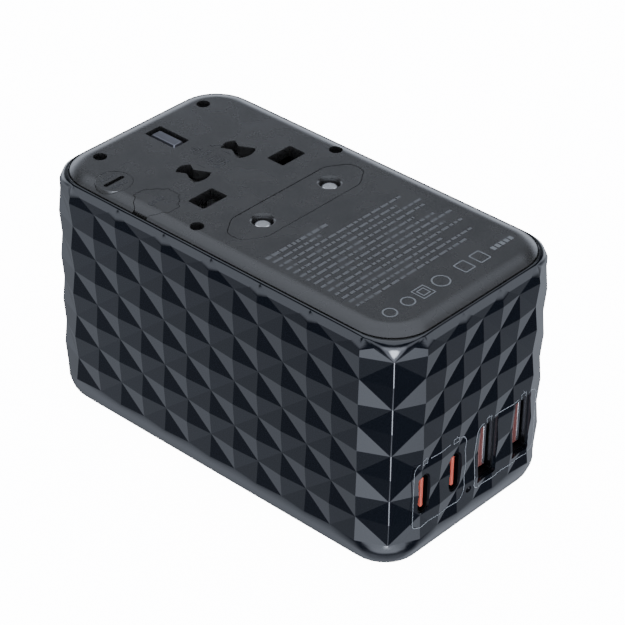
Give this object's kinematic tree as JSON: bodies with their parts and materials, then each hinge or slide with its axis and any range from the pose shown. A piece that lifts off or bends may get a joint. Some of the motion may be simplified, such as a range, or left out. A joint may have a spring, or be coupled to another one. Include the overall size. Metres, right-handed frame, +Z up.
{
  "type": "universal travel adapter",
  "caption": "Box-shaped universal travel adapter with a faceted wall, sliding UK, US/AU and EU plugs on one face, a universal socket on the other and USB ports on one end.",
  "frame": {"origin": "centre of the footprint on the socket face, which rests on the table", "axes": "+X along the length towards the USB end, +Y towards the long side with the slider knobs, +Z up towards the plug face"},
  "size_m": [0.0932, 0.05, 0.054],
  "materials": {
    "shell_plastic": "glossy",
    "cover_plastic": "satin",
    "base_plastic": "satin",
    "screw_steel": "black oxide",
    "frame_plastic": "matte",
    "carriage_plastic": "matte",
    "pin_brass": "polished",
    "sleeve_plastic": "satin",
    "pin_nickel": "satin",
    "knob_plastic": "satin",
    "button_plastic": "satin",
    "spring_steel": "bright",
    "rotor_plastic": "satin",
    "eu_pin_metal": "polished",
    "fuse_ceramic": "glazed",
    "shutter_plastic": "satin",
    "contact_brass": "rolled sheet",
    "board_green": "solder mask",
    "ferrite": "matte",
    "winding_tape": "tape",
    "capacitor_sleeve": "sleeve",
    "copper_enamel": "enamelled wire",
    "epoxy_black": "matte",
    "can_aluminium": "bright",
    "port_steel": "bright",
    "tongue_orange": "satin",
    "tongue_red": "satin",
    "led_lens": "clear"
  },
  "bodies": {
    "casing": {"outer_shell": "shell_plastic", "plug_cover": "cover_plastic", "socket_cover": "base_plastic", "cover_screws": "screw_steel", "inner_frame": "frame_plastic", "fuse_contact": "pin_brass", "live_busbar": "contact_brass", "neutral_busbar": "contact_brass", "earth_contact": "contact_brass", "mains_board": "board_green", "usb_board": "board_green", "transformer_core": "ferrite", "transformer_winding": "winding_tape", "bulk_capacitors": "capacitor_sleeve", "choke": "copper_enamel", "bridge_rectifier": "epoxy_black", "output_capacitors": "can_aluminium", "usb_c_shells": "port_steel", "usb_c_tongues": "tongue_orange", "usb_a_shells": "port_steel", "usb_a_tongues": "tongue_red", "indicator_led": "led_lens", "light_pipe": "led_lens", "shutter_spring": "spring_steel"},
    "uk_plug": {"uk_carriage": "carriage_plastic", "uk_line_neutral_pins": "pin_brass", "uk_pin_sleeves": "sleeve_plastic", "uk_earth_pin": "pin_nickel", "uk_slider_knob": "knob_plastic", "uk_lock_spring": "spring_steel"},
    "uk_lock": {"uk_lock_button": "button_plastic"},
    "us_plug": {"us_carriage": "carriage_plastic", "us_slider_knob": "knob_plastic", "us_lock_spring": "spring_steel"},
    "us_left_pin": {"us_left_rotor": "rotor_plastic", "us_left_blade": "pin_brass"},
    "us_right_pin": {"us_right_rotor": "rotor_plastic", "us_right_blade": "pin_brass"},
    "us_lock": {"us_lock_button": "button_plastic"},
    "eu_block_body": {"eu_block": "cover_plastic"},
    "eu_plug": {"eu_carriage": "carriage_plastic", "eu_pins": "eu_pin_metal", "eu_pin_sleeves": "sleeve_plastic", "eu_slider_knob": "knob_plastic", "eu_lock_spring": "spring_steel"},
    "eu_lock": {"eu_lock_button": "button_plastic"},
    "shutter": {"safety_shutter": "shutter_plastic"},
    "fuse_carrier": {"fuse_cover": "cover_plastic", "main_fuse": "fuse_ceramic"},
    "spare_fuse_carrier": {"spare_fuse": "fuse_ceramic", "spare_fuse_clip": "rotor_plastic"},
    "spare_cap": {"spare_fuse_cap": "cover_plastic"}
  },
  "joints": [
    {"name": "uk_plug_slide", "type": "slide", "parent": "casing", "child": "uk_plug", "axis": [0, 0, 1], "range_m": [0, 0.0235]},
    {"name": "uk_lock_press", "type": "slide", "parent": "uk_plug", "child": "uk_lock", "axis": [0, -1, 0], "range_m": [0, 0.001], "stiffness_N_per_m": 400, "deforming": ["uk_lock_spring"]},
    {"name": "us_plug_slide", "type": "slide", "parent": "casing", "child": "us_plug", "axis": [0, 0, 1], "range_m": [0, 0.019]},
    {"name": "us_left_blade_twist", "type": "hinge", "parent": "us_plug", "child": "us_left_pin", "pos_m": [-0.02295, -0.00635, 0.029], "axis": [0, 0, 1], "range_deg": [-28, 28]},
    {"name": "us_right_blade_twist", "type": "hinge", "parent": "us_plug", "child": "us_right_pin", "pos_m": [-0.02295, 0.00635, 0.029], "axis": [0, 0, 1], "range_deg": [-28, 28]},
    {"name": "us_lock_press", "type": "slide", "parent": "us_plug", "child": "us_lock", "axis": [0, -1, 0], "range_m": [0, 0.001], "stiffness_N_per_m": 400, "deforming": ["us_lock_spring"]},
    {"name": "eu_block_slide", "type": "slide", "parent": "casing", "child": "eu_block_body", "axis": [0, 0, 1], "range_m": [0, 0.015]},
    {"name": "eu_pin_slide", "type": "slide", "parent": "eu_block_body", "child": "eu_plug", "axis": [0, 0, 1], "range_m": [0, 0.0198]},
    {"name": "eu_lock_press", "type": "slide", "parent": "eu_plug", "child": "eu_lock", "axis": [0, -1, 0], "range_m": [0, 0.001], "stiffness_N_per_m": 400, "deforming": ["eu_lock_spring"]},
    {"name": "shutter_slide", "type": "slide", "parent": "casing", "child": "shutter", "axis": [-1, 0, 0], "range_m": [0, 0.0074], "stiffness_N_per_m": 150, "deforming": ["shutter_spring"]},
    {"name": "fuse_cover_lift", "type": "slide", "parent": "casing", "child": "fuse_carrier", "axis": [0, 0, 1], "range_m": [0, 0.024]},
    {"name": "spare_fuse_lift", "type": "slide", "parent": "casing", "child": "spare_fuse_carrier", "axis": [0, 0, 1], "range_m": [0, 0.022]},
    {"name": "spare_cap_turn", "type": "hinge", "parent": "spare_fuse_carrier", "child": "spare_cap", "pos_m": [-0.0311, -0.0191, 0.054], "axis": [0, 0, 1], "range_deg": [0, 90]}
  ]
}
